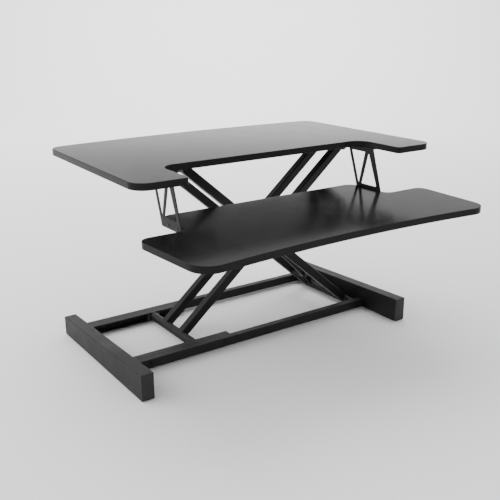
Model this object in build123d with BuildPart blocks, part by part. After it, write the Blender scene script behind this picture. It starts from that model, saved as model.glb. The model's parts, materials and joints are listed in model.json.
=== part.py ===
from build123d import *
import os
from math import asin, atan2, cos, degrees, hypot, radians, sin

# Standing desk converter: a base frame, a scissor lift and a platform that carries the
# top board and the keyboard tray. Millimetres, +Z up, +X to the user's right, +Y away from
# the user. The origin is on the floor, in the middle of the object's footprint.

# Top board
board_width = 651.0
board_back_width = 636.0
board_depth = 400.0
board_thickness = 12.0
edge_round = 0.8
board_top = 390.0
board_back_y = 280.0
board_bow = 17.0
recess_half_width = 230.0
recess_depth = 106.5
recess_corner_radius = 30.0
horn_corner_radius = 28.0
horn_inner_radius = 8.0

# Keyboard tray
tray_top = 298.0
tray_thickness = 12.0
tray_front_y = -282.1
tray_back_y = 2.0
tray_front_hollow = 20.0
tray_half_width = 319.0
tray_front_half_width = 307.0
tray_neck_half_width = 226.0
wing_back_y = -100.0
tray_front_radius = 34.0
tray_wing_radius = 20.0
tray_neck_radius = 15.0
tray_back_radius = 26.0
tray_screws_y = (-38.0, -68.0)

# Feet, closed bars that are taller at the front
base_width = 629.0
foot_length = 344.0
foot_width = 24.5
foot_front_top = 52.0
foot_back_top = 40.0
foot_mid_y = 89.5
foot_wall = 1.5
pad_height = 2.0
cap_plate = 2.0
cap_plug = 9.0

# Lower rails and slide tracks
mechanism_y = 131.0
rail_width = 15.5
rail_height = 18.0
rail_wall = 1.5
rail_outer_offset = 114.5
rail_corner_radius = 1.2
shaft_seat = 6.0
track_width = 14.0
track_wall = 1.5
lower_track_end_x = -60.0
lower_rail_mid_z = 13.5

# Upper slide tracks and pivot brackets, screwed to the board's underside
upper_pivot_drop = 18.0
upper_track_start_x = -274.0
upper_track_end_x = -60.0
upper_track_width = 20.0
upper_track_height = 9.0
upper_track_slot = 8.0
upper_track_offset = 44.5
pivot_bracket_plate = 3.0
pivot_bracket_flange = 14.0
pivot_bracket_width = 34.0
rail_screws_x = (-243.0, -77.0)

# Screws
screw_radius = 2.5
board_screw_radius = 2.0
board_screw_depth = 9.0
screw_head_radius = 3.6

# Scissor arms, square tube
arm_length = 534.0
arm_size = 17.0
arm_wall = 1.5
arm_corner_radius = 2.0
inner_arm_offset = 32.2
outer_arm_offset = 64.6
pivot_x = 272.0

# Shafts, bars and bushes
shaft_radius = 5.0
running_gap = 0.05
bar_radius = 9.0
bar_half_length = 84.0
stub_radius = 4.0
lower_tube_half_length = 80.0
upper_tube_half_length = 44.0
bush_radius = 6.5
bush_flange = 1.2
bush_flange_radius = 8.5
block_length = 28.0
block_gap = 0.3
nut_height = 6.0
bolt_head_height = 4.5

# Gas spring
spring_reach = 185.0
crank_radius = 28.0
crank_angle = 63.1
crank_clearance = 3.8
spring_pin_radius = 4.0
cylinder_radius = 9.0
cylinder_bore = 7.0
cylinder_length = 132.0
cross_tube_reach = 206.0
cross_tube_radius = 8.0
eye_half_width = 6.0
lug_gap = 0.4
lug_plate = 3.0
washer = 1.5
guide_height = 8.0
chamber_start = 20.0
rod_radius = 4.0
rod_length = 146.0
piston_height = 8.0

# Tray brackets, flat plates that lean forward. Corners and windows are (y, z) or y.
bracket_plate = 2.0
bracket_top_y = (-54.0, 17.0)
bracket_bottom_y = (-84.0, -15.5)
bracket_flange = 20.0
bracket_window_round = 2.0
# The rear window points down; the front window stands on its base.
bracket_rear_window = ((7.5, 369.0), (-32.5, 369.0), (-17.0, 300.0))
bracket_front_window = ((-42.0, 371.0), (-69.0, 303.5), (-24.5, 303.5))
bracket_screws_y = (-30.0, 8.0)

# Release levers
lever_pivot_x = 283.0
lever_mid_y = -25.0
lever_length = 50.0
lever_reach = 18.0
lever_plate = 2.0
lever_drop = 7.0
lever_pin_radius = 2.0
lever_barrel_radius = 4.0
lip_height = 2.0
ear_plate = 2.0
coil_radius = 2.9
wire_radius = 0.45
coil_pitch = 1.3
coil_length = 9.0

# Worked out from the above
board_bottom = board_top - board_thickness
tray_bottom = tray_top - tray_thickness
upper_pivot_z = board_bottom - upper_pivot_drop
rail_half_length = base_width / 2 - foot_width
rail_inner_offset = rail_outer_offset - rail_width
track_inner_offset = rail_inner_offset - track_width
rise = upper_pivot_z - lower_rail_mid_z
arm_angle = asin(rise / arm_length)
arm_run = arm_length * cos(arm_angle)
centre_x = pivot_x - arm_run / 2
centre_z = (upper_pivot_z + lower_rail_mid_z) / 2
slide_x = pivot_x - arm_run

LOWER_RIGHT = (pivot_x, lower_rail_mid_z)
LOWER_LEFT = (slide_x, lower_rail_mid_z)
UPPER_RIGHT = (pivot_x, upper_pivot_z)
UPPER_LEFT = (slide_x, upper_pivot_z)
CENTRE = (centre_x, centre_z)

os.makedirs("parts", exist_ok=True)


def keep(builder, name):
    """Label a finished piece and write its STEP file."""
    builder.part.label = name
    export_step(builder.part, f"parts/{name}.step")


def rod_along_y(point, y_low, y_high, radius, mode=Mode.ADD):
    """A round bar parallel to Y through the point (x, z)."""
    with Locations((point[0], (y_low + y_high) / 2, point[1])):
        Cylinder(radius, y_high - y_low, rotation=(90, 0, 0), mode=mode)


def rod_along_x(x_low, x_high, y, z, radius, mode=Mode.ADD):
    """A round bar parallel to X."""
    with Locations(((x_low + x_high) / 2, y, z)):
        Cylinder(radius, x_high - x_low, rotation=(0, 90, 0), mode=mode)


def rod_along_z(x, y, z_low, z_high, radius, mode=Mode.ADD):
    """A round bar parallel to Z."""
    with Locations((x, y, (z_low + z_high) / 2)):
        Cylinder(radius, z_high - z_low, mode=mode)


def mirrored_y(offset, side):
    """The Y of a place that is offset from the mechanism's middle, front (-1) or rear (+1)."""
    return mechanism_y + side * offset


def along_outer(distance):
    """A point on the outer arms' line, measured from the centre towards the lower right."""
    return (
        centre_x + distance * cos(arm_angle),
        centre_z - distance * sin(arm_angle),
    )


# Feet -----------------------------------------------------------------------------------

foot_front_y = foot_mid_y - foot_length / 2
foot_back_y = foot_mid_y + foot_length / 2
foot_slope = (foot_front_top - foot_back_top) / foot_length


def foot_top_at(y):
    return foot_front_top - foot_slope * (y - foot_front_y)


def foot_corners(inset):
    """The side outline of a foot between its end caps, as (y, z) corners."""
    front = foot_front_y + cap_plate - inset * 2
    back = foot_back_y - cap_plate + inset * 2
    return (
        (front, pad_height + inset),
        (back, pad_height + inset),
        (back, foot_top_at(back) - inset),
        (front, foot_top_at(front) - inset),
    )


def foot(x_low):
    with BuildPart() as piece:
        with BuildSketch(Plane.YZ.offset(x_low)):
            Polygon(*foot_corners(0), align=None)
        extrude(amount=foot_width)
        long_edges = [e for e in piece.edges() if abs((e % 0.5).Y) > 0.9]
        fillet(long_edges, radius=1.2)
        with BuildSketch(Plane.YZ.offset(x_low + foot_wall)):
            Polygon(*foot_corners(foot_wall), align=None)
        extrude(amount=foot_width - 2 * foot_wall, mode=Mode.SUBTRACT)
    return piece


foot_lows = (-base_width / 2, base_width / 2 - foot_width)
for foot_name, foot_low in zip(("foot_left", "foot_right"), foot_lows):
    keep(foot(foot_low), foot_name)

# Each foot's open ends are closed by plastic caps: a plate outside, a plug inside.
with BuildPart() as foot_end_caps:
    for foot_low in foot_lows:
        mid_x = foot_low + foot_width / 2
        for end_y, inward in ((foot_front_y, 1), (foot_back_y, -1)):
            cap_top = foot_top_at(end_y + inward * cap_plate)
            plug_end = end_y + inward * (cap_plate + cap_plug)
            plug_top = min(cap_top, foot_top_at(plug_end)) - foot_wall
            plug_bottom = pad_height + foot_wall
            with BuildSketch(Plane.XZ.offset(-end_y)):
                with Locations((mid_x, (pad_height + cap_top) / 2)):
                    RectangleRounded(foot_width, cap_top - pad_height, 1.2)
            extrude(amount=-inward * cap_plate)
            with BuildSketch(Plane.XZ.offset(-end_y - inward * cap_plate)):
                with Locations((mid_x, (plug_bottom + plug_top) / 2)):
                    Rectangle(foot_width - 2 * foot_wall, plug_top - plug_bottom)
            extrude(amount=-inward * cap_plug)
keep(foot_end_caps, "foot_end_caps")

with BuildPart() as foot_pads:
    with BuildSketch(Plane.XY):
        for foot_low in foot_lows:
            for pad_y in (foot_front_y + 32, foot_back_y - 32):
                with Locations((foot_low + foot_width / 2, pad_y)):
                    RectangleRounded(18, 40, 3)
    extrude(amount=pad_height)
keep(foot_pads, "foot_pads")

# Lower rails and slide tracks -------------------------------------------------------------------

rail_mid_offset = rail_outer_offset - rail_width / 2
web_inner_offset = rail_inner_offset - track_wall


def rail(side):
    """A box tube along X, with holes for the track screws and a seat for the pivot shaft."""
    with BuildPart() as piece:
        with BuildSketch(Plane.YZ.offset(-rail_half_length)):
            with Locations((mirrored_y(rail_mid_offset, side), lower_rail_mid_z)):
                RectangleRounded(rail_width, rail_height, rail_corner_radius)
                RectangleRounded(rail_width - 2 * rail_wall, rail_height - 2 * rail_wall, 0.4,
                                 mode=Mode.SUBTRACT)
        extrude(amount=2 * rail_half_length)
        y_ends = sorted((mirrored_y(rail_outer_offset + 1, side),
                         mirrored_y(rail_inner_offset - 1, side)))
        for screw_x in rail_screws_x:
            rod_along_y((screw_x, lower_rail_mid_z), *y_ends, screw_radius, Mode.SUBTRACT)
        seat = sorted((mirrored_y(rail_inner_offset + shaft_seat, side),
                       mirrored_y(rail_inner_offset - 1, side)))
        rod_along_y((pivot_x, lower_rail_mid_z), *seat, shaft_radius, Mode.SUBTRACT)
    return piece


def track(side):
    """A channel along the inside of a rail, open towards the other rail."""
    half = rail_height / 2
    web = mirrored_y(rail_inner_offset, side)
    web_inner = mirrored_y(web_inner_offset, side)
    lip = mirrored_y(track_inner_offset, side)
    with BuildPart() as piece:
        with BuildSketch(Plane.YZ.offset(-rail_half_length)):
            Polygon(
                (web, lower_rail_mid_z - half),
                (lip, lower_rail_mid_z - half),
                (lip, lower_rail_mid_z - half + track_wall),
                (web_inner, lower_rail_mid_z - half + track_wall),
                (web_inner, lower_rail_mid_z + half - track_wall),
                (lip, lower_rail_mid_z + half - track_wall),
                (lip, lower_rail_mid_z + half),
                (web, lower_rail_mid_z + half),
                align=None,
            )
        extrude(amount=lower_track_end_x + rail_half_length)
        y_ends = sorted((web + side, web_inner - side))
        for screw_x in rail_screws_x:
            rod_along_y((screw_x, lower_rail_mid_z), *y_ends, screw_radius, Mode.SUBTRACT)
    return piece


for place, side in (("front", -1), ("rear", 1)):
    keep(rail(side), f"lower_rail_{place}")
    keep(track(side), f"lower_track_{place}")

# Button head screws, from a rail's outer face through the track's web
with BuildPart() as lower_track_screws:
    for side in (-1, 1):
        face = mirrored_y(rail_outer_offset, side)
        tip = mirrored_y(web_inner_offset, side)
        for screw_x in rail_screws_x:
            rod_along_y((screw_x, lower_rail_mid_z), *sorted((face, tip)), screw_radius)
            head = sorted((face, face + side * 1.8))
            rod_along_y((screw_x, lower_rail_mid_z), *head, 4.5)
            socket = sorted((face + side * 0.6, face + side * 3))
            rod_along_y((screw_x, lower_rail_mid_z), *socket, 1.5, Mode.SUBTRACT)
keep(lower_track_screws, "lower_track_screws")

# The fixed shaft that the outer arms turn on, seated in both rails
with BuildPart() as lower_pivot_shaft:
    reach = rail_inner_offset + shaft_seat - 0.5
    rod_along_y(LOWER_RIGHT, mechanism_y - reach, mechanism_y + reach, shaft_radius)
keep(lower_pivot_shaft, "lower_pivot_shaft")

# Spacer tubes that keep the pivot tube in the middle of its shaft
with BuildPart() as lower_pivot_collars:
    near = lower_tube_half_length + bush_flange + block_gap
    for side in (-1, 1):
        ends = sorted((mirrored_y(near, side), mirrored_y(rail_inner_offset, side)))
        rod_along_y(LOWER_RIGHT, *ends, bar_radius - 1)
        rod_along_y(LOWER_RIGHT, *ends, shaft_radius, Mode.SUBTRACT)
keep(lower_pivot_collars, "lower_pivot_collars")

# Scissor arms -------------------------------------------------------------------------------


def arm(start, end, mid_y, hole_radius):
    """A square tube from one bar to another, saddled onto both, drilled at its middle."""
    run = end[0] - start[0]
    climb = end[1] - start[1]
    section = Plane(origin=(start[0], mid_y, start[1]), x_dir=(0, 1, 0), z_dir=(run, 0, climb))
    inside = arm_size - 2 * arm_wall
    y_low = mid_y - arm_size
    y_high = mid_y + arm_size
    with BuildPart() as piece:
        with BuildSketch(section):
            RectangleRounded(arm_size, arm_size, arm_corner_radius)
            RectangleRounded(inside, inside, arm_corner_radius - arm_wall, mode=Mode.SUBTRACT)
        extrude(amount=hypot(run, climb))
        rod_along_y(start, y_low, y_high, bar_radius, Mode.SUBTRACT)
        rod_along_y(end, y_low, y_high, bar_radius, Mode.SUBTRACT)
        rod_along_y(CENTRE, y_low, y_high, hole_radius, Mode.SUBTRACT)
    return piece


# The bar across the inner arms' lower ends, with a turned-down stub in each slide block
with BuildPart() as lower_slide_bar:
    rod_along_y(LOWER_LEFT, mechanism_y - bar_half_length, mechanism_y + bar_half_length,
                bar_radius)
    stub_reach = web_inner_offset - 0.8
    rod_along_y(LOWER_LEFT, mechanism_y - stub_reach, mechanism_y + stub_reach, stub_radius)
keep(lower_slide_bar, "lower_slide_bar")

# Nylon blocks that carry the lower slide bar in the tracks
with BuildPart() as lower_slide_blocks:
    block_height = rail_height - 2 * track_wall - 2 * block_gap
    for side in (-1, 1):
        ends = sorted((mirrored_y(web_inner_offset - block_gap, side),
                       mirrored_y(track_inner_offset + block_gap, side)))
        with BuildSketch(Plane.XZ.offset(-ends[0])):
            with Locations(LOWER_LEFT):
                RectangleRounded(block_length, block_height, 2)
                Circle(stub_radius + running_gap, mode=Mode.SUBTRACT)
        extrude(amount=ends[0] - ends[1])
keep(lower_slide_blocks, "lower_slide_blocks")

# The bar across the outer arms' upper ends, thinner between the arms where the hangers are
upper_track_outer_offset = upper_track_offset + upper_track_width / 2
with BuildPart() as upper_slide_bar:
    bar_end = outer_arm_offset + arm_size / 2 + 2.5
    rod_along_y(UPPER_LEFT, mechanism_y - bar_end, mechanism_y + bar_end, shaft_radius)
    for side in (-1, 1):
        ends = sorted((mirrored_y(upper_track_outer_offset + 0.9, side),
                       mirrored_y(bar_end, side)))
        rod_along_y(UPPER_LEFT, *ends, bar_radius)
keep(upper_slide_bar, "upper_slide_bar")


def upper_track_profile(gap):
    """Half widths and heights of the slot a hanger runs in, less a gap all round."""
    return {
        "neck": upper_track_slot / 2 - gap,
        "head": upper_track_width / 2 - track_wall - gap,
        "head_bottom": board_bottom - upper_track_height + track_wall + gap,
        "head_top": board_bottom - track_wall - gap,
    }


# Nylon hangers: a block on the bar, and a T head in the track above it
with BuildPart() as upper_slide_blocks:
    head = upper_track_profile(block_gap)
    block_half = 5.5
    block_top = board_bottom - upper_track_height - block_gap
    block_bottom = 2 * upper_pivot_z - block_top
    for side in (-1, 1):
        mid = mirrored_y(upper_track_offset, side)
        with BuildSketch(Plane.YZ.offset(slide_x - block_length / 2)):
            with Locations((mid, (block_top + block_bottom) / 2)):
                RectangleRounded(2 * block_half, block_top - block_bottom, 1.0)
            with Locations((mid, (upper_pivot_z + head["head_top"]) / 2)):
                Rectangle(2 * head["neck"], head["head_top"] - upper_pivot_z)
            with Locations((mid, (head["head_bottom"] + head["head_top"]) / 2)):
                Rectangle(2 * head["head"], head["head_top"] - head["head_bottom"])
        extrude(amount=block_length)
    rod_along_y(UPPER_LEFT, mechanism_y - upper_track_outer_offset,
                mechanism_y + upper_track_outer_offset, shaft_radius + running_gap,
                Mode.SUBTRACT)
keep(upper_slide_blocks, "upper_slide_blocks")


def pivot_tube(point, half_length):
    """The tube across the other end of an arm pair, bored for the bushes."""
    y_low = mechanism_y - half_length
    y_high = mechanism_y + half_length
    with BuildPart() as piece:
        rod_along_y(point, y_low, y_high, bar_radius)
        rod_along_y(point, y_low, y_high, bush_radius, Mode.SUBTRACT)
    return piece


def pivot_bushes(point, half_length):
    """Flanged bushes pressed into both ends of a pivot tube."""
    with BuildPart() as pieces:
        for side in (-1, 1):
            outer = mirrored_y(half_length + bush_flange, side)
            face = mirrored_y(half_length, side)
            inner = mirrored_y(half_length - 15, side)
            rod_along_y(point, *sorted((inner, face)), bush_radius)
            rod_along_y(point, *sorted((face, outer)), bush_flange_radius)
            rod_along_y(point, *sorted((inner, outer)), shaft_radius + running_gap,
                        Mode.SUBTRACT)
    return pieces


for place, side in (("front", -1), ("rear", 1)):
    keep(arm(LOWER_RIGHT, UPPER_LEFT, mirrored_y(outer_arm_offset, side), shaft_radius),
         f"outer_arm_{place}")
    keep(arm(LOWER_LEFT, UPPER_RIGHT, mirrored_y(inner_arm_offset, side), bush_radius),
         f"inner_arm_{place}")

for level, point, half_length in (("lower", LOWER_RIGHT, lower_tube_half_length),
                                  ("upper", UPPER_RIGHT, upper_tube_half_length)):
    keep(pivot_tube(point, half_length), f"{level}_pivot_tube")
    keep(pivot_bushes(point, half_length), f"{level}_pivot_bushes")

# Centre pivot: a bolt on each side, fixed in the outer arm. The inner arm turns on it, and
# the middle stays free for the gas spring.
inner_arm_inside = inner_arm_offset - arm_size / 2
inner_arm_outside = inner_arm_offset + arm_size / 2
outer_arm_inside = outer_arm_offset - arm_size / 2
outer_arm_outside = outer_arm_offset + arm_size / 2
bolt_head_face = inner_arm_inside - bush_flange - block_gap

for place, side in (("front", -1), ("rear", 1)):
    with BuildPart() as centre_bolt:
        thread_end = outer_arm_outside + nut_height + 1.5
        ends = sorted((mirrored_y(bolt_head_face, side), mirrored_y(thread_end, side)))
        rod_along_y(CENTRE, *ends, shaft_radius)
        head = sorted((mirrored_y(bolt_head_face, side),
                       mirrored_y(bolt_head_face - bolt_head_height, side)))
        rod_along_y(CENTRE, *head, 8.0)
    keep(centre_bolt, f"centre_bolt_{place}")

with BuildPart() as centre_nuts:
    for side in (-1, 1):
        ends = sorted((mirrored_y(outer_arm_outside, side),
                       mirrored_y(outer_arm_outside + nut_height, side)))
        with BuildSketch(Plane.XZ.offset(-ends[0])):
            with Locations(CENTRE):
                RegularPolygon(8.0, 6)
                Circle(shaft_radius, mode=Mode.SUBTRACT)
        extrude(amount=ends[0] - ends[1])
keep(centre_nuts, "centre_nuts")

with BuildPart() as centre_bushes:
    for side in (-1, 1):
        ends = sorted((mirrored_y(inner_arm_inside, side), mirrored_y(inner_arm_outside, side)))
        rod_along_y(CENTRE, *ends, bush_radius)
        rod_along_y(CENTRE, ends[0] - bush_flange, ends[0], bush_flange_radius)
        rod_along_y(CENTRE, ends[1], ends[1] + bush_flange, bush_flange_radius)
        rod_along_y(CENTRE, ends[0] - bush_flange, ends[1] + bush_flange,
                    shaft_radius + running_gap, Mode.SUBTRACT)
keep(centre_bushes, "centre_bushes")

with BuildPart() as centre_spacers:
    for side in (-1, 1):
        near = mirrored_y(inner_arm_outside + bush_flange + block_gap, side)
        far = mirrored_y(outer_arm_inside, side)
        rod_along_y(CENTRE, *sorted((near, far)), 8.0)
        rod_along_y(CENTRE, *sorted((near, far)), shaft_radius, Mode.SUBTRACT)
keep(centre_spacers, "centre_spacers")

# Gas spring: it pushes from lugs low on the outer arms to crank plates on the inner arms.
lug_point = along_outer(spring_reach)
cross_tube_point = along_outer(cross_tube_reach)
crank_direction = arm_angle + radians(crank_angle)
crank_point = (
    centre_x + crank_radius * cos(crank_direction),
    centre_z + crank_radius * sin(crank_direction),
)
spring_run = crank_point[0] - lug_point[0]
spring_climb = crank_point[1] - lug_point[1]
spring_length = hypot(spring_run, spring_climb)
spring_direction = atan2(spring_climb, spring_run)


def along_spring(distance):
    """A point on the gas spring's line, measured from its lower eye."""
    return (
        lug_point[0] + distance * cos(spring_direction),
        lug_point[1] + distance * sin(spring_direction),
    )


def spring_section(distance):
    """The plane square to the gas spring at a distance from its lower eye."""
    x, z = along_spring(distance)
    return Plane(origin=(x, mechanism_y, z), x_dir=(0, 1, 0), z_dir=(spring_run, 0, spring_climb))


with BuildPart() as spring_cross_tube:
    y_low = mechanism_y - outer_arm_inside
    y_high = mechanism_y + outer_arm_inside
    rod_along_y(cross_tube_point, y_low, y_high, cross_tube_radius)
    rod_along_y(cross_tube_point, y_low, y_high, cross_tube_radius - arm_wall, Mode.SUBTRACT)
keep(spring_cross_tube, "spring_cross_tube")

with BuildPart() as spring_lugs:
    for side in (-1, 1):
        ends = sorted((mirrored_y(eye_half_width + lug_gap, side),
                       mirrored_y(eye_half_width + lug_gap + lug_plate, side)))
        with BuildSketch(Plane.XZ.offset(-ends[0])):
            with BuildSketch(mode=Mode.PRIVATE) as lug_ends:
                with Locations(cross_tube_point):
                    Circle(cross_tube_radius + 4)
                with Locations(lug_point):
                    Circle(spring_pin_radius + 4)
            make_hull(lug_ends.sketch.edges())
            with Locations(cross_tube_point):
                Circle(cross_tube_radius, mode=Mode.SUBTRACT)
            with Locations(lug_point):
                Circle(spring_pin_radius, mode=Mode.SUBTRACT)
        extrude(amount=ends[0] - ends[1])
keep(spring_lugs, "spring_lugs")

with BuildPart() as spring_lower_pin:
    reach = eye_half_width + lug_gap + lug_plate
    rod_along_y(lug_point, mechanism_y - reach, mechanism_y + reach, spring_pin_radius)
    for side in (-1, 1):
        head = sorted((mirrored_y(reach, side), mirrored_y(reach + washer, side)))
        rod_along_y(lug_point, *head, spring_pin_radius + 2)
keep(spring_lower_pin, "spring_lower_pin")

with BuildPart() as spring_cylinder:
    rod_along_y(lug_point, mechanism_y - eye_half_width, mechanism_y + eye_half_width,
                cylinder_radius)
    with BuildSketch(spring_section(0)):
        Circle(cylinder_radius)
    extrude(amount=cylinder_length - guide_height)
    with BuildSketch(spring_section(chamber_start)):
        Circle(cylinder_bore)
    extrude(amount=cylinder_length, mode=Mode.SUBTRACT)
    for side in (-1, 1):
        cheek = sorted((mirrored_y(eye_half_width, side), mirrored_y(cylinder_radius + 3, side)))
        rod_along_y(lug_point, *cheek, cylinder_radius + 4, Mode.SUBTRACT)
    rod_along_y(lug_point, mechanism_y - cylinder_radius, mechanism_y + cylinder_radius,
                spring_pin_radius + running_gap, Mode.SUBTRACT)
keep(spring_cylinder, "spring_cylinder")

with BuildPart() as spring_guide:
    with BuildSketch(spring_section(cylinder_length - guide_height)):
        Circle(cylinder_radius)
    extrude(amount=guide_height)
    with BuildSketch(spring_section(cylinder_length - 2 * guide_height)):
        Circle(cylinder_bore)
    extrude(amount=guide_height)
    with BuildSketch(spring_section(cylinder_length - 3 * guide_height)):
        Circle(rod_radius + running_gap)
    extrude(amount=4 * guide_height, mode=Mode.SUBTRACT)
keep(spring_guide, "spring_guide")

# The rod reaches from the crank pin to a piston that stays inside the chamber.
with BuildPart() as spring_rod:
    rod_along_y(crank_point, mechanism_y - eye_half_width, mechanism_y + eye_half_width,
                cylinder_radius)
    with BuildSketch(spring_section(spring_length - rod_length)):
        Circle(rod_radius)
    extrude(amount=rod_length)
    with BuildSketch(spring_section(spring_length - rod_length)):
        Circle(cylinder_bore - 0.1)
    extrude(amount=piston_height)
    rod_along_y(crank_point, mechanism_y - eye_half_width - 1, mechanism_y + eye_half_width + 1,
                spring_pin_radius, Mode.SUBTRACT)
keep(spring_rod, "spring_rod")

# The rod's pin is loose in the crank plates, which is where the spring's loop is open.
crank_outside = inner_arm_inside
crank_inside = crank_outside - lug_plate
with BuildPart() as spring_upper_pin:
    rod_along_y(crank_point, mechanism_y - crank_outside + 0.5, mechanism_y + crank_outside - 0.5,
                spring_pin_radius)
    for side in (-1, 1):
        collar = sorted((mirrored_y(crank_inside - 0.8, side),
                         mirrored_y(crank_inside - 0.8 - washer, side)))
        rod_along_y(crank_point, *collar, 11.0)
keep(spring_upper_pin, "spring_upper_pin")

crank_line = Plane(origin=(centre_x, 0, centre_z), x_dir=(cos(arm_angle), 0, sin(arm_angle)),
                   z_dir=(0, -1, 0))
crank_local = (
    crank_radius * cos(crank_direction - arm_angle),
    crank_radius * sin(crank_direction - arm_angle),
)
with BuildPart() as crank_plates:
    for side in (-1, 1):
        ends = sorted((mirrored_y(crank_inside, side), mirrored_y(crank_outside, side)))
        with BuildSketch(crank_line.offset(-ends[0])):
            with BuildSketch(mode=Mode.PRIVATE) as crank_ends:
                with Locations((24, 0), (46, 0)):
                    Circle(arm_size / 2)
                with Locations(crank_local):
                    Circle(spring_pin_radius + crank_clearance + 4)
            make_hull(crank_ends.sketch.edges())
            with Locations(crank_local):
                Circle(spring_pin_radius + crank_clearance, mode=Mode.SUBTRACT)
        extrude(amount=ends[0] - ends[1])
keep(crank_plates, "crank_plates")

# Platform -----------------------------------------------------------------------------------

board_front_y = board_back_y - board_depth
recess_y = board_front_y + recess_depth
pivot_bracket_near = upper_tube_half_length + bush_flange + block_gap
pivot_bracket_far = pivot_bracket_near + pivot_bracket_plate
upper_track_screws_at = [
    (x, mirrored_y(upper_track_offset, side))
    for side in (-1, 1)
    for x in (upper_track_start_x + 8, (upper_track_start_x + upper_track_end_x) / 2, upper_track_end_x - 8)
]
pivot_bracket_screws_at = [
    (pivot_x + dx, mirrored_y(pivot_bracket_far + pivot_bracket_flange / 2, side))
    for side in (-1, 1)
    for dx in (-10, 10)
]
bracket_plate_inner_x = tray_neck_half_width
bracket_plate_outer_x = bracket_plate_inner_x + bracket_plate
bracket_screw_x = bracket_plate_outer_x + 12
lever_screws = [
    (sx * lever_pivot_x, lever_mid_y + sy * (lever_length / 2 + 9))
    for sx in (-1, 1)
    for sy in (-1, 1)
]
flange_screws = [
    (sx * bracket_screw_x, y)
    for sx in (-1, 1)
    for y in bracket_screws_y
]

with BuildPart() as top_board:
    with BuildSketch(Plane.XY.offset(board_bottom)):
        with BuildLine():
            half = board_width / 2
            back_half = board_back_width / 2
            back_y = board_back_y - board_bow
            outline = Polyline(
                (-back_half, back_y),
                (-half, board_front_y),
                (-recess_half_width, board_front_y),
                (-recess_half_width, recess_y),
                (recess_half_width, recess_y),
                (recess_half_width, board_front_y),
                (half, board_front_y),
                (back_half, back_y),
            )
            ThreePointArc((back_half, back_y), (0, board_back_y), (-back_half, back_y))
        make_face()
        fillet(vertices().filter_by(lambda v: abs(v.X) > recess_half_width + 10),
               radius=horn_corner_radius)
        fillet(vertices().filter_by(
            lambda v: abs(abs(v.X) - recess_half_width) < 1 and v.Y > recess_y - 1),
            radius=recess_corner_radius)
        fillet(vertices().filter_by(
            lambda v: abs(abs(v.X) - recess_half_width) < 1 and v.Y < board_front_y + 1),
            radius=horn_inner_radius)
    extrude(amount=board_thickness)
    fillet(faces().sort_by(Axis.Z)[0].edges() + faces().sort_by(Axis.Z)[-1].edges(), edge_round)
    board_holes = upper_track_screws_at + pivot_bracket_screws_at + lever_screws + flange_screws
    for x, y in board_holes:
        rod_along_z(x, y, board_bottom, board_bottom + board_screw_depth, board_screw_radius,
                    Mode.SUBTRACT)
keep(top_board, "top_board")


def upper_track(side):
    """A shallow channel under the board, with a slot along its lower face."""
    inside = upper_track_profile(0)
    mid = mirrored_y(upper_track_offset, side)
    with BuildPart() as piece:
        with BuildSketch(Plane.YZ.offset(upper_track_start_x)):
            with Locations((mid, board_bottom - upper_track_height / 2)):
                RectangleRounded(upper_track_width, upper_track_height, 1.0)
            with Locations((mid, (inside["head_bottom"] + inside["head_top"]) / 2)):
                Rectangle(2 * inside["head"], inside["head_top"] - inside["head_bottom"],
                          mode=Mode.SUBTRACT)
            with Locations((mid, board_bottom - upper_track_height)):
                Rectangle(2 * inside["neck"], 4 * track_wall, mode=Mode.SUBTRACT)
        extrude(amount=upper_track_end_x - upper_track_start_x)
        for x, y in upper_track_screws_at:
            if (y - mechanism_y) * side > 0:
                rod_along_z(x, y, board_bottom - track_wall, board_bottom, screw_head_radius,
                            Mode.SUBTRACT)
    return piece


def pivot_bracket(side):
    """A lobe that holds the upper pivot shaft, bent out under the board."""
    near = mirrored_y(pivot_bracket_near, side)
    far = mirrored_y(pivot_bracket_far, side)
    edge = mirrored_y(pivot_bracket_far + pivot_bracket_flange, side)
    y_low, y_high = sorted((near, far))
    with BuildPart() as piece:
        with BuildSketch(Plane.XZ.offset(-y_low)):
            with BuildSketch(mode=Mode.PRIVATE) as outline:
                with Locations(UPPER_RIGHT):
                    Circle(8.5)
                with Locations((pivot_x, board_bottom - 1)):
                    Rectangle(pivot_bracket_width, 2)
            make_hull(outline.sketch.edges())
            with Locations(UPPER_RIGHT):
                Circle(shaft_radius, mode=Mode.SUBTRACT)
        extrude(amount=y_low - y_high)
        with BuildSketch(Plane.XY.offset(board_bottom - pivot_bracket_plate)):
            with Locations((pivot_x, (near + edge) / 2)):
                RectangleRounded(pivot_bracket_width, abs(edge - near), 1.0)
        extrude(amount=pivot_bracket_plate)
        for x, y in pivot_bracket_screws_at:
            if (y - mechanism_y) * side > 0:
                rod_along_z(x, y, board_bottom - pivot_bracket_plate, board_bottom,
                            board_screw_radius, Mode.SUBTRACT)
    return piece


for place, side in (("front", -1), ("rear", 1)):
    keep(upper_track(side), f"upper_track_{place}")
    keep(pivot_bracket(side), f"upper_pivot_bracket_{place}")

with BuildPart() as upper_pivot_shaft:
    reach = pivot_bracket_far + 1.5
    rod_along_y(UPPER_RIGHT, mechanism_y - reach, mechanism_y + reach, shaft_radius)
keep(upper_pivot_shaft, "upper_pivot_shaft")

# Countersunk heads, flush inside the tracks so that the hangers pass below them
with BuildPart() as upper_track_screws:
    for x, y in upper_track_screws_at:
        rod_along_z(x, y, board_bottom - track_wall, board_bottom, screw_head_radius)
        rod_along_z(x, y, board_bottom, board_bottom + board_screw_depth, board_screw_radius)
keep(upper_track_screws, "upper_track_screws")

with BuildPart() as pivot_bracket_screws:
    for x, y in pivot_bracket_screws_at:
        head_top = board_bottom - pivot_bracket_plate
        rod_along_z(x, y, head_top, board_bottom + board_screw_depth, board_screw_radius)
        rod_along_z(x, y, head_top - 2.2, head_top, 4.0)
keep(pivot_bracket_screws, "pivot_bracket_screws")

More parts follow.
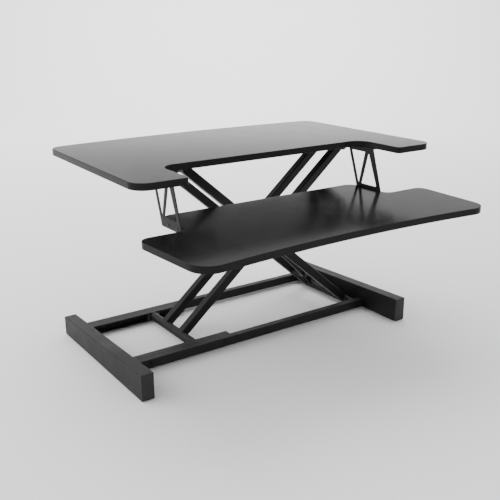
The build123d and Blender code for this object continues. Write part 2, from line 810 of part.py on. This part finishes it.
# Keyboard tray: a narrow neck between the brackets and two wings in front of them.
tray_screw_points = [(side * tray_neck_half_width, y) for side in (-1, 1) for y in tray_screws_y]
tray_screw_radius = 1.8
tray_screw_depth = 16.0
tray_mid_z = (tray_top + tray_bottom) / 2

with BuildPart() as keyboard_tray:
    with BuildSketch(Plane.XY.offset(tray_bottom)):
        with BuildLine():
            outline = Polyline(
                (tray_front_half_width, tray_front_y),
                (tray_half_width, wing_back_y),
                (tray_neck_half_width, wing_back_y),
                (tray_neck_half_width, tray_back_y),
                (-tray_neck_half_width, tray_back_y),
                (-tray_neck_half_width, wing_back_y),
                (-tray_half_width, wing_back_y),
                (-tray_front_half_width, tray_front_y),
            )
            ThreePointArc(
                (-tray_front_half_width, tray_front_y),
                (0, tray_front_y + tray_front_hollow),
                (tray_front_half_width, tray_front_y),
            )
        make_face()
        fillet(vertices().filter_by(lambda v: v.Y < tray_front_y + 1), radius=tray_front_radius)
        fillet(vertices().filter_by(
            lambda v: abs(abs(v.X) - tray_half_width) < 1 and v.Y > wing_back_y - 1),
            radius=tray_wing_radius)
        fillet(vertices().filter_by(
            lambda v: abs(abs(v.X) - tray_neck_half_width) < 1 and v.Y < wing_back_y + 1),
            radius=tray_neck_radius)
        fillet(vertices().filter_by(lambda v: v.Y > tray_back_y - 1), radius=tray_back_radius)
    extrude(amount=tray_thickness)
    fillet(faces().sort_by(Axis.Z)[0].edges() + faces().sort_by(Axis.Z)[-1].edges(), edge_round)
    for x, y in tray_screw_points:
        ends = sorted((x, x - (tray_screw_depth if x > 0 else -tray_screw_depth)))
        rod_along_x(*ends, y, tray_mid_z, tray_screw_radius, Mode.SUBTRACT)
keep(keyboard_tray, "keyboard_tray")

with BuildPart() as tray_screws:
    for x, y in tray_screw_points:
        side = 1 if x > 0 else -1
        face = side * bracket_plate_outer_x
        tip = x - side * tray_screw_depth
        rod_along_x(*sorted((face, tip)), y, tray_mid_z, tray_screw_radius)
        rod_along_x(*sorted((face, face + side * 0.8)), y, tray_mid_z, 3.2)
keep(tray_screws, "tray_screws")


def tray_bracket(side):
    """A leaning plate with two triangular windows, and a flange under the board."""
    inner = side * bracket_plate_inner_x
    plate_plane = Plane.YZ.offset(min(inner, side * bracket_plate_outer_x))
    with BuildPart() as piece:
        with BuildSketch(plate_plane):
            Polygon(
                (bracket_top_y[1], board_bottom),
                (bracket_top_y[0], board_bottom),
                (bracket_bottom_y[0], tray_bottom),
                (bracket_bottom_y[1], tray_bottom),
                align=None,
            )
        extrude(amount=bracket_plate)
        with BuildSketch(plate_plane):
            Polygon(*bracket_rear_window, align=None)
            Polygon(*bracket_front_window, align=None)
            fillet(vertices(), radius=bracket_window_round)
        extrude(amount=bracket_plate, mode=Mode.SUBTRACT)
        flange_mid = side * (bracket_plate_outer_x + bracket_flange / 2)
        flange_y = (bracket_top_y[0] + bracket_top_y[1]) / 2
        flange_length = bracket_top_y[1] - bracket_top_y[0] - 3
        with BuildSketch(Plane.XY.offset(board_bottom - bracket_plate)):
            with Locations((flange_mid, flange_y)):
                Rectangle(bracket_flange, flange_length)
        extrude(amount=bracket_plate)
        for x, y in flange_screws:
            if x * side > 0:
                rod_along_z(x, y, board_bottom - bracket_plate, board_bottom,
                            board_screw_radius, Mode.SUBTRACT)
        for x, y in tray_screw_points:
            if x * side > 0:
                ends = sorted((inner, side * bracket_plate_outer_x))
                rod_along_x(*ends, y, tray_mid_z, tray_screw_radius, Mode.SUBTRACT)
    return piece


keep(tray_bracket(-1), "tray_bracket_left")
keep(tray_bracket(1), "tray_bracket_right")

with BuildPart() as bracket_screws:
    for x, y in flange_screws:
        head_top = board_bottom - bracket_plate
        rod_along_z(x, y, head_top, board_bottom + board_screw_depth, board_screw_radius)
        rod_along_z(x, y, head_top - 2.0, head_top, 4.0)
keep(bracket_screws, "bracket_screws")

# Release levers: paddles under both horns, each squeezed up against a spring.
ear_half = lever_length / 2
lever_pivot_z = board_bottom - lever_drop


def lever_bracket(side):
    """A foot plate at each end of the lever, with an ear that holds the lever's pin."""
    with BuildPart() as piece:
        for end in (-1, 1):
            ear_inner = lever_mid_y + end * (ear_half + 0.5)
            ear_outer = ear_inner + end * ear_plate
            foot_outer = ear_inner + end * 14
            y_low, y_high = sorted((ear_inner, foot_outer))
            with BuildSketch(Plane.XY.offset(board_bottom - ear_plate)):
                with Locations((side * lever_pivot_x, (y_low + y_high) / 2)):
                    Rectangle(16, y_high - y_low)
            extrude(amount=ear_plate)
            y_low, y_high = sorted((ear_inner, ear_outer))
            with BuildSketch(Plane.XZ.offset(-y_low)):
                with Locations((side * lever_pivot_x, board_bottom - lever_drop / 2)):
                    Rectangle(10, lever_drop)
                with Locations((side * lever_pivot_x, lever_pivot_z)):
                    Circle(5)
                    Circle(lever_pin_radius, mode=Mode.SUBTRACT)
            extrude(amount=y_low - y_high)
        for x, y in lever_screws:
            if x * side > 0:
                rod_along_z(x, y, board_bottom - ear_plate, board_bottom, board_screw_radius,
                            Mode.SUBTRACT)
    return piece


def release_lever(side):
    """A paddle on a barrel, with a turned-down lip at its outer edge."""
    tip_x = side * (lever_pivot_x + lever_reach)
    pivot = side * lever_pivot_x
    plate_low = lever_pivot_z - 3.0
    with BuildPart() as piece:
        rod_along_y((pivot, lever_pivot_z), lever_mid_y - ear_half, lever_mid_y + ear_half,
                    lever_barrel_radius)
        with BuildSketch(Plane.XY.offset(plate_low)):
            with Locations(((pivot + tip_x) / 2, lever_mid_y)):
                RectangleRounded(lever_reach, lever_length, 1.5)
        extrude(amount=lever_plate)
        with BuildSketch(Plane.XY.offset(plate_low - lip_height)):
            with Locations((tip_x - side * 1.5, lever_mid_y)):
                RectangleRounded(3.0, lever_length - 4, 1.4)
        extrude(amount=lip_height)
        rod_along_y((pivot, lever_pivot_z), lever_mid_y - ear_half, lever_mid_y + ear_half,
                    lever_pin_radius + running_gap, Mode.SUBTRACT)
        rod_along_y((pivot, lever_pivot_z), lever_mid_y - 6, lever_mid_y + 6,
                    lever_barrel_radius + 3.0, Mode.SUBTRACT)
    return piece


keep(lever_bracket(-1), "lever_bracket_left")
keep(lever_bracket(1), "lever_bracket_right")
keep(release_lever(-1), "release_lever_left")
keep(release_lever(1), "release_lever_right")

with BuildPart() as lever_pins:
    reach = ear_half + 0.5 + ear_plate
    for side in (-1, 1):
        rod_along_y((side * lever_pivot_x, lever_pivot_z), lever_mid_y - reach,
                    lever_mid_y + reach, lever_pin_radius)
keep(lever_pins, "lever_pins")

with BuildPart() as lever_screw_group:
    for x, y in lever_screws:
        head_top = board_bottom - ear_plate
        rod_along_z(x, y, head_top, board_bottom + board_screw_depth, board_screw_radius)
        rod_along_z(x, y, head_top - 2.0, head_top, 3.8)
keep(lever_screw_group, "lever_screws")

# Torsion springs: coils round the middle of each lever's pin.
with BuildPart() as lever_springs:
    for side in (-1, 1):
        start = (side * lever_pivot_x, lever_mid_y - coil_length / 2, lever_pivot_z)
        with BuildLine() as coil:
            Helix(coil_pitch, coil_length, coil_radius, center=start, direction=(0, 1, 0))
        with BuildSketch(Plane(origin=coil.line @ 0, z_dir=coil.line % 0)):
            Circle(wire_radius)
        sweep(path=coil.line)
keep(lever_springs, "lever_springs")
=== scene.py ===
import json
from math import cos, radians, sin

import bpy
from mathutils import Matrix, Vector

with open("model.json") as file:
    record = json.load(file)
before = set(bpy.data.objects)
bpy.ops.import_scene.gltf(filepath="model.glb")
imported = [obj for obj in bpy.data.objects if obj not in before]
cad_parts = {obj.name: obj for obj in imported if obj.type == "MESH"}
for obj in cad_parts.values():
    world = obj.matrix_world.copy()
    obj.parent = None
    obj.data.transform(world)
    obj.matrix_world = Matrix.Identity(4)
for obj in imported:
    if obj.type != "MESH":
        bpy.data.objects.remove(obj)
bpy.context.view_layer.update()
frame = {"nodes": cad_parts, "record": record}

# Camera: close to the object's height, looking slightly down from the front left.
CAMERA_PLACE = (-0.8075, -1.1155, 0.6422)
CAMERA_PITCH = 72.02
CAMERA_YAW = -34.795
CAMERA_LENS = 53.57
SENSOR_WIDTH = 36
CLIP_END = 50

# Stage, metres: a floor that bends up into a low backdrop along the camera's line of sight
FLOOR_HALF_WIDTH = 14.0
FLOOR_FRONT = -9.0
BEND_START = 3.4
BEND_RADIUS = 0.9
BACKDROP_TOP = 1.1
BEND_STEPS = 24

# How many rays each bevel lookup takes when it finds the edges
BEVEL_SAMPLES = 6

# Shades, linear
LAMINATE = (0.010, 0.010, 0.0108)
EDGE_BAND = (0.012, 0.012, 0.0125)
COATING = (0.0095, 0.0094, 0.0102)
BARE_STEEL = (0.42, 0.42, 0.43)
FLOOR = (0.90, 0.90, 0.90)


class Material:
    """A node material under construction: short calls that add and link its nodes."""

    def __init__(self, name):
        self.material = bpy.data.materials.new(name)
        self.material.use_nodes = True
        self.tree = self.material.node_tree
        self.shader = self.tree.nodes["Principled BSDF"]
        self.place = self.add("ShaderNodeTexCoord").outputs["Object"]

    def add(self, kind, **settings):
        node = self.tree.nodes.new(kind)
        for key, value in settings.items():
            setattr(node, key, value)
        return node

    def link(self, source, target):
        self.tree.links.new(source, target)

    def stretched(self, scale):
        """Object coordinates, stretched along the axes."""
        mapping = self.add("ShaderNodeMapping")
        mapping.inputs["Scale"].default_value = scale
        self.link(self.place, mapping.inputs["Vector"])
        return mapping.outputs["Vector"]

    def noise(self, scale, detail=4.0, roughness=0.55, stretch=(1, 1, 1)):
        node = self.add("ShaderNodeTexNoise")
        node.inputs["Scale"].default_value = scale
        node.inputs["Detail"].default_value = detail
        node.inputs["Roughness"].default_value = roughness
        self.link(self.stretched(stretch), node.inputs["Vector"])
        return node.outputs["Fac"]

    def cells(self, scale):
        node = self.add("ShaderNodeTexVoronoi")
        node.inputs["Scale"].default_value = scale
        self.link(self.place, node.inputs["Vector"])
        return node.outputs["Distance"]

    def ranged(self, source, low, high, to_low, to_high):
        """The source stretched from one range onto another, clamped."""
        node = self.add("ShaderNodeMapRange")
        for socket, value in zip(("From Min", "From Max", "To Min", "To Max"),
                                 (low, high, to_low, to_high)):
            node.inputs[socket].default_value = value
        self.link(source, node.inputs["Value"])
        return node.outputs["Result"]

    def math(self, operation, first, second):
        node = self.add("ShaderNodeMath", operation=operation)
        for socket, value in zip(node.inputs, (first, second)):
            if isinstance(value, (int, float)):
                socket.default_value = value
            else:
                self.link(value, socket)
        return node.outputs["Value"]

    def blended(self, factor, first, second):
        """A colour between two colours, or between two colour sockets."""
        node = self.add("ShaderNodeMix", data_type="RGBA")
        self.link(factor, node.inputs["Factor"])
        for socket, value in ((node.inputs[6], first), (node.inputs[7], second)):
            if isinstance(value, tuple):
                socket.default_value = (*value, 1)
            else:
                self.link(value, socket)
        return node.outputs[2]

    def edges(self, width, low=0.004, high=0.10):
        """1 on convex and concave edges, 0 on flat stretches."""
        bevel = self.add("ShaderNodeBevel", samples=BEVEL_SAMPLES)
        bevel.inputs["Radius"].default_value = width
        geometry = self.add("ShaderNodeNewGeometry")
        alike = self.add("ShaderNodeVectorMath", operation="DOT_PRODUCT")
        self.link(bevel.outputs["Normal"], alike.inputs[0])
        self.link(geometry.outputs["Normal"], alike.inputs[1])
        return self.ranged(self.math("SUBTRACT", 1.0, alike.outputs["Value"]), low, high, 0, 1)

    def bump(self, heights, round_edges=0.0):
        """Bump from (height socket, depth in metres) pairs, chained."""
        normal = None
        if round_edges:
            bevel = self.add("ShaderNodeBevel", samples=BEVEL_SAMPLES)
            bevel.inputs["Radius"].default_value = round_edges
            normal = bevel.outputs["Normal"]
        for height, depth in heights:
            node = self.add("ShaderNodeBump")
            node.inputs["Strength"].default_value = 1.0
            node.inputs["Distance"].default_value = depth
            self.link(height, node.inputs["Height"])
            if normal:
                self.link(normal, node.inputs["Normal"])
            normal = node.outputs["Normal"]
        self.link(normal, self.shader.inputs["Normal"])

    def finish(self, color=None, roughness=None, metallic=0.0, **fixed):
        for socket, value in (("Base Color", color), ("Roughness", roughness)):
            if isinstance(value, tuple):
                self.shader.inputs[socket].default_value = (*value, 1)
            elif isinstance(value, (int, float)):
                self.shader.inputs[socket].default_value = value
            elif value:
                self.link(value, self.shader.inputs[socket])
        self.shader.inputs["Metallic"].default_value = metallic
        for name, value in fixed.items():
            self.shader.inputs[name.replace("_", " ")].default_value = value
        return self.material


def scaled(color, factor):
    return tuple(min(1.0, channel * factor) for channel in color)


def laminate():
    """Satin black laminate: a fine pebbled skin, faint cloudiness, a dull edge band and a painted
    highlight along the edges.
    """
    m = Material("laminate")
    clouds = m.noise(9, detail=5)
    pebbles = m.noise(1500, detail=2)
    handling = m.noise(38, detail=6, roughness=0.7)
    tone = m.blended(m.ranged(clouds, 0.35, 0.65, 0, 1), scaled(LAMINATE, 0.86),
                     scaled(LAMINATE, 1.18))
    fleck = m.ranged(pebbles, 0.60, 0.72, 0, 0.4)
    tone = m.blended(fleck, tone, scaled(LAMINATE, 1.8))
    # The sides carry a band of plain plastic, a little duller than the faces.
    normal = m.add("ShaderNodeSeparateXYZ")
    m.link(m.add("ShaderNodeNewGeometry").outputs["True Normal"], normal.inputs[0])
    side = m.ranged(m.math("ABSOLUTE", normal.outputs["Z"], 0.0), 0.15, 0.35, 1, 0)
    tone = m.blended(side, tone, EDGE_BAND)
    # Painted highlight: every edge of the board is painted lighter, standing for the light line
    # its eased rim catches.
    wear_and_edge_highlight = m.edges(0.0012)
    tone = m.blended(m.math("MULTIPLY", wear_and_edge_highlight, 0.5), tone, scaled(LAMINATE, 4.5))
    sheen = m.ranged(handling, 0.3, 0.75, 0.12, 0.17)
    sheen = m.math("ADD", sheen, m.math("MULTIPLY", side, 0.05))
    m.bump(((pebbles, 0.000012), (clouds, 0.00005)), round_edges=0.0007)
    return m.finish(tone, sheen, Specular_IOR_Level=0.055)


def powder_coat(name, color, gloss=0.46, grain=1.0):
    """Fine-texture powder coat: orange-peel bump, uneven gloss and rubbed edges."""
    m = Material(name)
    peel = m.cells(620)
    fine = m.noise(2300, detail=2)
    patches = m.noise(24, detail=5, roughness=0.6)
    tone = m.blended(m.ranged(patches, 0.35, 0.65, 0, 1), scaled(color, 0.80),
                     scaled(color, 1.25))
    tone = m.blended(m.ranged(fine, 0.56, 0.70, 0, 0.5), tone, scaled(color, 2.4))
    wear_and_edge_highlight = m.math("MULTIPLY", m.edges(0.0011), m.ranged(m.noise(160), 0.40, 0.62, 0.1, 0.7))
    tone = m.blended(wear_and_edge_highlight, tone, scaled(color, 5.5))
    shine = m.ranged(patches, 0.3, 0.7, gloss - 0.06, gloss + 0.06)
    shine = m.math("SUBTRACT", shine, m.math("MULTIPLY", wear_and_edge_highlight, 0.12))
    m.bump(((peel, 0.00008 * grain), (fine, 0.00003 * grain)), round_edges=0.0008)
    return m.finish(tone, shine, Specular_IOR_Level=0.15)


def moulded_plastic():
    """End caps and levers: spark-eroded texture with a slight polish where hands touch."""
    m = Material("moulded_plastic")
    spark = m.noise(1900, detail=3, roughness=0.7)
    flow = m.noise(30, detail=3, stretch=(1, 0.3, 1))
    tone = m.blended(m.ranged(flow, 0.35, 0.65, 0, 1), (0.011, 0.011, 0.012),
                     (0.017, 0.017, 0.018))
    worn = m.edges(0.001)
    tone = m.blended(m.math("MULTIPLY", worn, 0.45), tone, (0.055, 0.055, 0.057))
    shine = m.ranged(spark, 0.3, 0.7, 0.44, 0.62)
    m.bump(((spark, 0.00006),), round_edges=0.001)
    return m.finish(tone, shine, Specular_IOR_Level=0.3)


def rubber():
    """Foot pads: matt rubber with dust held in its grain."""
    m = Material("pad_rubber")
    grain = m.noise(900, detail=4, roughness=0.75)
    dust = m.noise(60, detail=5)
    tone = m.blended(m.ranged(dust, 0.45, 0.7, 0, 1), (0.012, 0.012, 0.012),
                     (0.035, 0.034, 0.032))
    m.bump(((grain, 0.00012),), round_edges=0.0006)
    return m.finish(tone, m.ranged(grain, 0.3, 0.7, 0.72, 0.92))


def black_oxide():
    """Screws, bolts and nuts: oil-black steel, bright where a driver has rubbed it."""
    m = Material("black_oxide")
    swirl = m.noise(700, detail=4, roughness=0.7)
    stain = m.noise(120, detail=4)
    tone = m.blended(m.ranged(stain, 0.35, 0.65, 0, 1), (0.010, 0.010, 0.011),
                     (0.020, 0.020, 0.021))
    worn = m.edges(0.0006)
    tone = m.blended(m.math("MULTIPLY", worn, 0.4), tone, (0.09, 0.09, 0.095))
    m.bump(((swirl, 0.00003),), round_edges=0.0004)
    return m.finish(tone, m.ranged(swirl, 0.3, 0.7, 0.32, 0.50), metallic=0.85)


def turned_steel():
    """Shafts, pins and spacers: fine rings round the axis and a thin film of grease."""
    m = Material("turned_steel")
    rings = m.noise(1.0, detail=3, stretch=(40, 4200, 40))
    film = m.noise(85, detail=5)
    tone = m.blended(m.ranged(film, 0.4, 0.65, 0, 1), BARE_STEEL, scaled(BARE_STEEL, 0.72))
    worn = m.edges(0.0005)
    tone = m.blended(m.math("MULTIPLY", worn, 0.5), tone, (0.62, 0.62, 0.63))
    m.bump(((rings, 0.00003),), round_edges=0.0004)
    return m.finish(tone, m.ranged(film, 0.35, 0.7, 0.24, 0.40), metallic=1.0)


def nylon():
    """Slide blocks and bushes: waxy black nylon, greyed by grease along its edges."""
    m = Material("nylon")
    wax = m.noise(45, detail=4)
    scuff = m.noise(1.0, detail=5, stretch=(60, 900, 900))
    tone = m.blended(m.ranged(wax, 0.35, 0.65, 0, 1), (0.014, 0.014, 0.014), (0.024, 0.024, 0.023))
    grease = m.math("MULTIPLY", m.edges(0.0018), m.ranged(m.noise(220), 0.35, 0.6, 0.2, 1))
    tone = m.blended(m.math("MULTIPLY", grease, 0.7), tone, (0.05, 0.048, 0.044))
    m.bump(((scuff, 0.00004),), round_edges=0.0006)
    return m.finish(tone, m.ranged(scuff, 0.3, 0.7, 0.40, 0.56))


def chrome():
    """The gas spring's rod: polished, with the faintest lengthways hone marks."""
    m = Material("rod_chrome")
    hone = m.noise(420, detail=4, roughness=0.7)
    haze = m.noise(50, detail=3)
    tone = m.blended(m.ranged(haze, 0.4, 0.7, 0, 1), (0.60, 0.60, 0.62), (0.50, 0.50, 0.51))
    m.bump(((hone, 0.000006),), round_edges=0.0003)
    return m.finish(tone, m.ranged(haze, 0.3, 0.7, 0.08, 0.18), metallic=1.0)


def dress():
    """Gives every CAD node the material of its slot."""
    finishes = {
        "laminate": laminate(),
        "powder_coat": powder_coat("powder_coat", COATING),
        "black_plastic": moulded_plastic(),
        "rubber": rubber(),
        "black_screws": black_oxide(),
        "steel": turned_steel(),
        "nylon": nylon(),
        "cylinder_paint": powder_coat("cylinder_paint", scaled(COATING, 0.9), 0.30, 0.3),
        "chrome": chrome(),
    }
    for part in frame["record"]["subparts"]:
        node = frame["nodes"][part["node"]]
        material = finishes[part["material_slot"]]
        if not node.material_slots:
            node.data.materials.append(material)
        for slot in node.material_slots:
            slot.material = material


def stage():
    """A pale floor that sweeps up into a backdrop behind the object."""
    profile = [(FLOOR_FRONT, 0.0), (BEND_START, 0.0)]
    for step in range(1, BEND_STEPS + 1):
        turn = radians(90 * step / BEND_STEPS)
        profile.append((BEND_START + BEND_RADIUS * sin(turn), BEND_RADIUS * (1 - cos(turn))))
    profile.append((BEND_START + BEND_RADIUS, BACKDROP_TOP))
    vertices = [(x, y, z) for y, z in profile for x in (-FLOOR_HALF_WIDTH, FLOOR_HALF_WIDTH)]
    faces = [(2 * i, 2 * i + 1, 2 * i + 3, 2 * i + 2) for i in range(len(profile) - 1)]
    mesh = bpy.data.meshes.new("floor")
    mesh.from_pydata(vertices, [], faces)
    mesh.polygons.foreach_set("use_smooth", [True] * len(faces))
    floor = bpy.data.objects.new("floor", mesh)
    floor.rotation_euler = (0, 0, radians(CAMERA_YAW))
    bpy.context.scene.collection.objects.link(floor)
    m = Material("floor_paper")
    fibres = m.noise(300, detail=5)
    tone = m.blended(m.ranged(fibres, 0.3, 0.7, 0, 1), scaled(FLOOR, 0.99), FLOOR)
    m.bump(((fibres, 0.0001),))
    mesh.materials.append(m.finish(tone, 0.9))


def lamp(name, place, target, size, power):
    """A soft rectangular lamp that faces a point."""
    data = bpy.data.lights.new(name, "AREA")
    data.shape = "RECTANGLE"
    data.size, data.size_y = size
    data.energy = power
    light = bpy.data.objects.new(name, data)
    light.location = place
    aim = Vector(target) - Vector(place)
    light.rotation_euler = aim.to_track_quat("-Z", "Y").to_euler()
    bpy.context.scene.collection.objects.link(light)


def lights():
    """An even sky, soft lamps at the left and above, a lit backdrop, and little from the front."""
    world = bpy.data.worlds.new("studio")
    world.use_nodes = True
    background = world.node_tree.nodes["Background"]
    background.inputs["Color"].default_value = (1, 1, 1, 1)
    background.inputs["Strength"].default_value = 1.15
    bpy.context.scene.world = world
    middle = (0, 0, 0.25)
    lamp("left", (-2.4, 1.4, 1.6), middle, (2.6, 2.2), 60)
    lamp("top", (0.3, 0.9, 2.8), middle, (2.4, 2.4), 45)
    lamp("front", (1.2, -2.4, 1.6), middle, (1.4, 1.0), 6)
    lamp("sweep", (1.3, 2.2, 2.6), (2.4, 4.4, 0.2), (4.0, 1.0), 160)
    lamp("horizon", (0.9, 4.2, 1.9), middle, (1.6, 0.9), 2)


def camera():
    data = bpy.data.cameras.new("camera")
    data.sensor_width = SENSOR_WIDTH
    data.lens = CAMERA_LENS
    data.clip_end = CLIP_END
    eye = bpy.data.objects.new("camera", data)
    eye.location = CAMERA_PLACE
    eye.rotation_euler = (radians(CAMERA_PITCH), 0, radians(CAMERA_YAW))
    bpy.context.scene.collection.objects.link(eye)
    bpy.context.scene.camera = eye


dress()
stage()
lights()
camera()
